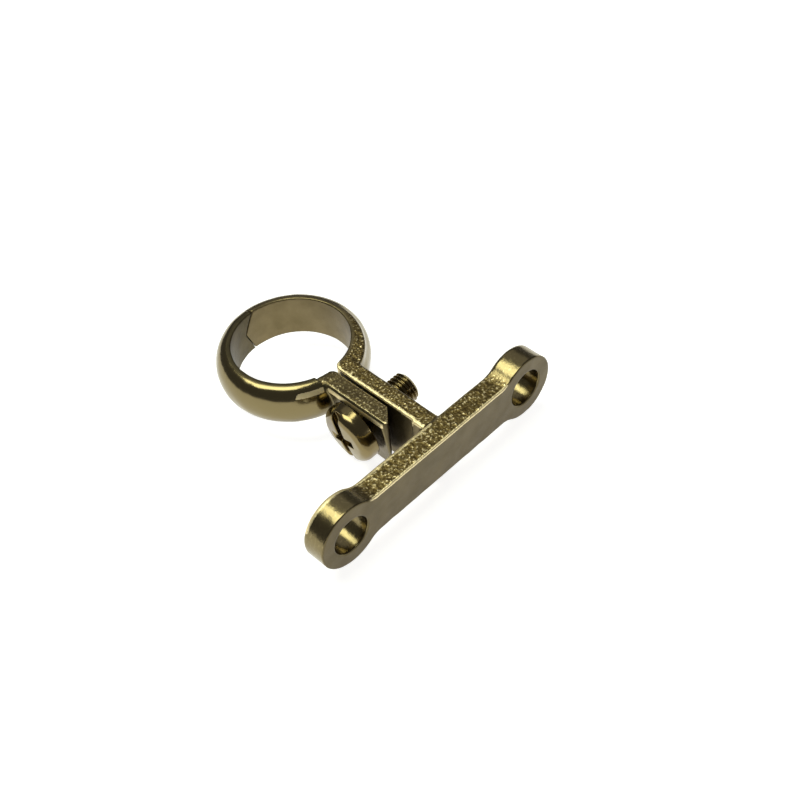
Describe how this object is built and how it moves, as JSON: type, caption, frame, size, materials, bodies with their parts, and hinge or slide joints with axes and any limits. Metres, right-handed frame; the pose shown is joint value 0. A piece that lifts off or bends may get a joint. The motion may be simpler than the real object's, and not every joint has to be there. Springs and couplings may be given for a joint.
{
  "type": "pipe bracket",
  "caption": "Cast brass wall bracket for a pipe: a hinged split ring on a stem from a drilled wall bar, closed by a clamp screw.",
  "frame": {"origin": "middle of the wall bar's flat back, halfway between its two screw holes", "axes": "+X along the wall bar away from the clamp screw's head, +Y from the wall to the pipe, +Z along the pipe"},
  "size_m": [0.0378, 0.0353, 0.0104],
  "materials": {
    "cast_brass": "sand-cast, unlacquered, with polished ring and eye sides",
    "cast_brass_clamp": "sand-cast, with a polished half ring",
    "turned_brass": "machined, lightly polished",
    "drawn_brass": "drawn wire"
  },
  "bodies": {
    "bracket": {"wall_bracket": "cast_brass", "hinge_pin": "drawn_brass"},
    "clamp": {"front_clamp": "cast_brass_clamp"},
    "screw": {"clamp_screw": "turned_brass"}
  },
  "joints": [
    {"name": "clamp_hinge", "type": "hinge", "parent": "bracket", "child": "clamp", "pos_m": [-0.00108, 0.03438, 0], "axis": [0, 0, -1], "range_deg": [0, 70]},
    {"name": "screw_turn", "type": "hinge", "parent": "clamp", "child": "screw", "pos_m": [0.0015, 0.0113, -0.00053], "axis": [0.9899, -0.0594, 0.1287], "continuous": true}
  ]
}
